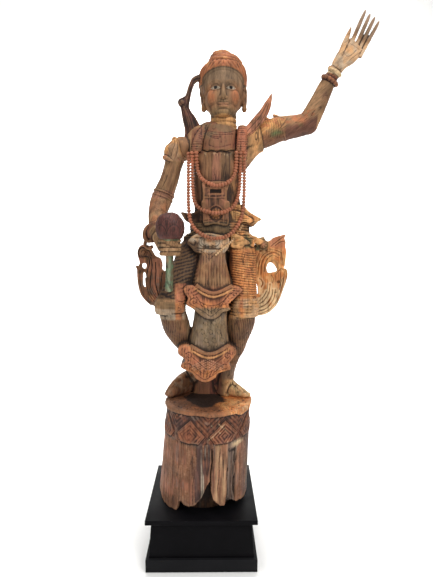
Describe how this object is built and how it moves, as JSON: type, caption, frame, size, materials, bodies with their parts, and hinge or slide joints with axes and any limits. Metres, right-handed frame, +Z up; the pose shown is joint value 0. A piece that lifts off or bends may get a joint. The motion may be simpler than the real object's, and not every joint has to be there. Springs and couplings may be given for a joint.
{
  "type": "ceremonial figure statue",
  "caption": "Carved wooden dancing deity with a raised arm and a lotus bud, on a log pedestal over a black stepped plinth.",
  "frame": {"origin": "centre of the plinth's underside", "axes": "+Z up, the figure faces -Y, the raised arm reaches toward +X"},
  "size_m": [0.8984, 0.4696, 2.0569],
  "materials": {
    "figure": "aged bare wood with worn pigment",
    "raised_arm": "aged bare wood with worn pigment",
    "lowered_arm": "aged bare wood with worn pigment",
    "lotus_bud": "aged bare wood with worn pigment",
    "hip_wing_left": "aged bare wood with worn pigment",
    "hip_wing_right": "aged bare wood with worn pigment",
    "scarf_ribbon_left": "aged bare wood with worn pigment",
    "scarf_ribbon_right": "aged bare wood with worn pigment",
    "bead_string_upper": "aged bare wood with worn pigment",
    "bead_string_middle": "aged bare wood with worn pigment",
    "bead_string_lower": "aged bare wood with worn pigment",
    "hip_cord": "aged bare wood with worn pigment",
    "plinth_top_board": "semi-gloss black lacquer, worn edges",
    "plinth_block": "semi-gloss black lacquer, worn edges",
    "plinth_base_board": "semi-gloss black lacquer, worn edges"
  },
  "bodies": {
    "root": {"figure": "figure", "raised_arm": "raised_arm", "lowered_arm": "lowered_arm", "lotus_bud": "lotus_bud", "hip_wing_left": "hip_wing_left", "hip_wing_right": "hip_wing_right", "scarf_ribbon_left": "scarf_ribbon_left", "scarf_ribbon_right": "scarf_ribbon_right", "bead_string_upper": "bead_string_upper", "bead_string_middle": "bead_string_middle", "bead_string_lower": "bead_string_lower", "hip_cord": "hip_cord", "plinth_top_board": "plinth_top_board", "plinth_block": "plinth_block", "plinth_base_board": "plinth_base_board"}
  },
  "joints": []
}
